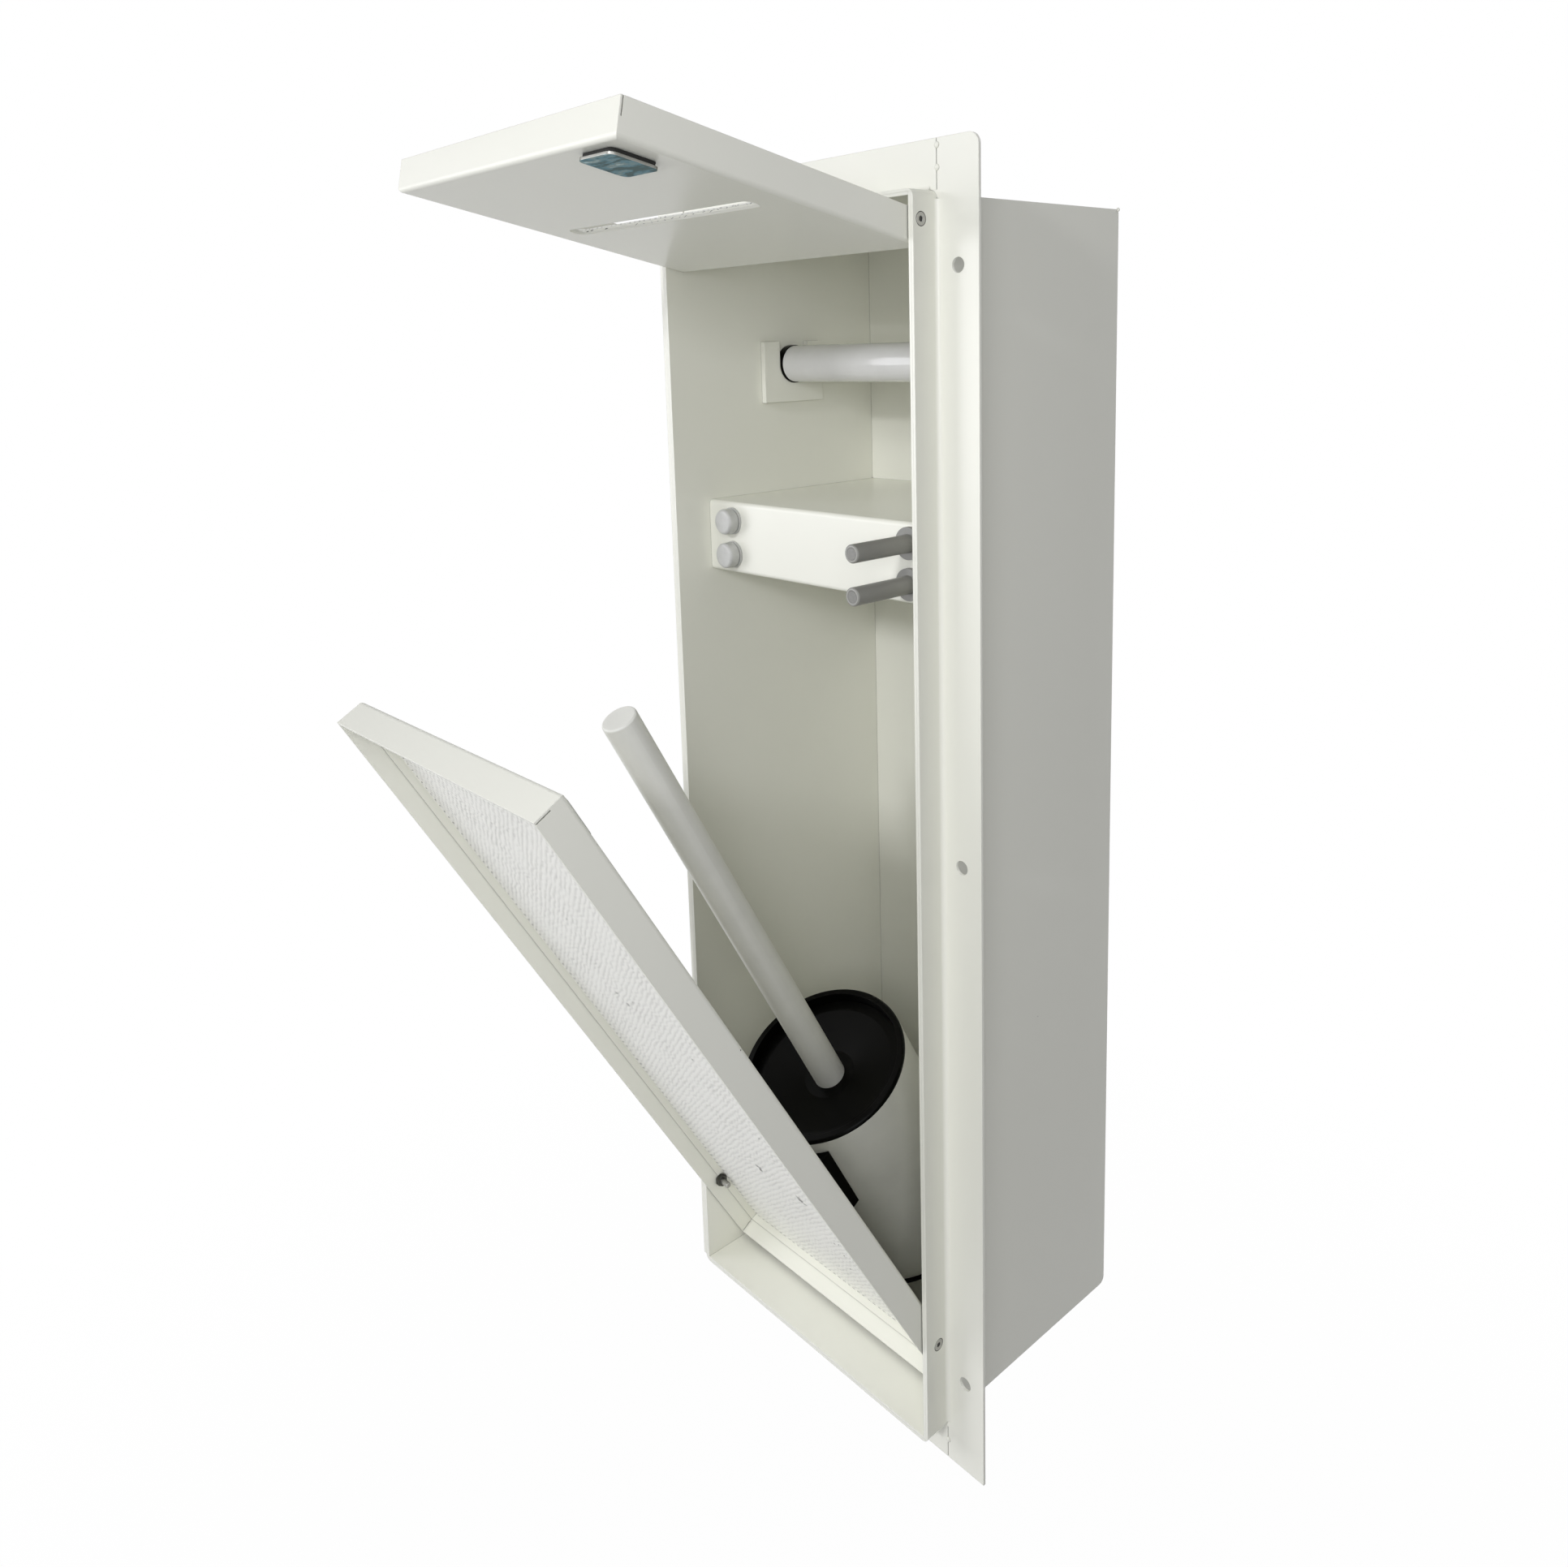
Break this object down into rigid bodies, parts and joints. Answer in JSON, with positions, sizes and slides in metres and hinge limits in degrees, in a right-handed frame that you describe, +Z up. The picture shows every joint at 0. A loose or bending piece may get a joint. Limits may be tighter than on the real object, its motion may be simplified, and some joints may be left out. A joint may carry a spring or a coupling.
{
  "type": "recessed bathroom niche",
  "caption": "Recessed wall niche with a roll bay above, a brush bay below, and two tileable hinged doors on push latches.",
  "frame": {"origin": "centre of the wall screw pattern, on the front face of the flange", "axes": "+X across the niche, +Y into the wall, +Z up"},
  "size_m": [0.201, 0.3142, 0.582],
  "materials": {
    "white_coat": "white powder coat on folded steel, satin",
    "mesh_board": "white backing board under a coarse glass-fibre mesh",
    "grey_plastic": "moulded grey plastic",
    "dark_grey_plastic": "moulded dark grey plastic",
    "magnet_steel": "plated magnet face",
    "buffer_rubber": "soft light grey buffer",
    "screw_steel": "plain plated steel",
    "zinc_plate": "blue zinc plate",
    "white_plastic": "smooth white",
    "black_plastic": "smooth black",
    "bristle_black": "black nylon bristles"
  },
  "bodies": {
    "housing": {"rear_wrap": "white_coat", "side_plate_left": "white_coat", "side_plate_right": "white_coat", "flange_strip_left": "white_coat", "flange_strip_right": "white_coat", "flange_strip_top": "white_coat", "flange_strip_bottom": "white_coat", "shelf_box": "white_coat", "latch_barrel_upper": "grey_plastic", "latch_barrel_lower": "grey_plastic", "door_buffers": "buffer_rubber", "rod_bracket_left": "white_coat", "rod_bracket_right": "white_coat", "hinge_screws_upper": "screw_steel", "hinge_screws_lower": "screw_steel"},
    "upper_door": {"upper_door_pan": "white_coat", "upper_tile_tray": "white_coat", "upper_mesh_board": "mesh_board", "upper_strike_pad": "black_plastic", "upper_strike_plate": "zinc_plate", "hinge_nuts_upper": "screw_steel"},
    "lower_door": {"lower_door_pan": "white_coat", "lower_tile_tray": "white_coat", "lower_mesh_board": "mesh_board", "lower_strike_pad": "black_plastic", "lower_strike_plate": "zinc_plate", "hinge_nuts_lower": "screw_steel", "cup_cradle": "black_plastic", "cradle_rivets": "screw_steel"},
    "upper_latch": {"latch_pin_upper": "dark_grey_plastic", "latch_magnet_upper": "magnet_steel"},
    "lower_latch": {"latch_pin_lower": "dark_grey_plastic", "latch_magnet_lower": "magnet_steel"},
    "rod_ends": {"rod_cap_left": "black_plastic", "rod_cap_right": "black_plastic"},
    "rod_barrel": {"rod_tube": "white_plastic"},
    "container": {"cup_sleeve": "white_plastic", "cup_rail": "black_plastic", "cup_foot": "black_plastic", "cup_liner": "black_plastic"},
    "brush": {"brush_lid": "black_plastic", "brush_handle": "white_plastic", "brush_core": "black_plastic", "brush_bristles": "bristle_black"}
  },
  "joints": [
    {"name": "upper_door_swing", "type": "hinge", "parent": "housing", "child": "upper_door", "pos_m": [0, -0.0092, 0.2617], "axis": [1, 0, 0], "range_deg": [0, 101.65]},
    {"name": "lower_door_swing", "type": "hinge", "parent": "housing", "child": "lower_door", "pos_m": [0, -0.0057, -0.2271], "axis": [-1, 0, 0], "range_deg": [0, 30.4]},
    {"name": "upper_latch_push", "type": "slide", "parent": "housing", "child": "upper_latch", "axis": [0, 1, 0], "range_m": [0, 0.0308]},
    {"name": "lower_latch_push", "type": "slide", "parent": "housing", "child": "lower_latch", "axis": [0, 1, 0], "range_m": [0, 0.0308]},
    {"name": "rod_lift", "type": "slide", "parent": "housing", "child": "rod_ends", "axis": [0, 0, 1], "range_m": [0, 0.022]},
    {"name": "rod_turn", "type": "hinge", "parent": "rod_ends", "child": "rod_barrel", "pos_m": [0, 0.064, 0.2063], "axis": [1, 0, 0], "continuous": true},
    {"name": "container_lift", "type": "slide", "parent": "lower_door", "child": "container", "axis": [0, 0.4756, -0.8796], "range_m": [-0.036, 0]},
    {"name": "brush_draw", "type": "slide", "parent": "container", "child": "brush", "axis": [0, 0.4756, -0.8796], "range_m": [-0.12, 0]}
  ],
  "couplings": [
    {"joint": "upper_latch_push", "follows": "upper_door_swing", "m_per_rad": 0.01736},
    {"joint": "lower_latch_push", "follows": "lower_door_swing", "m_per_rad": 0.05804}
  ]
}
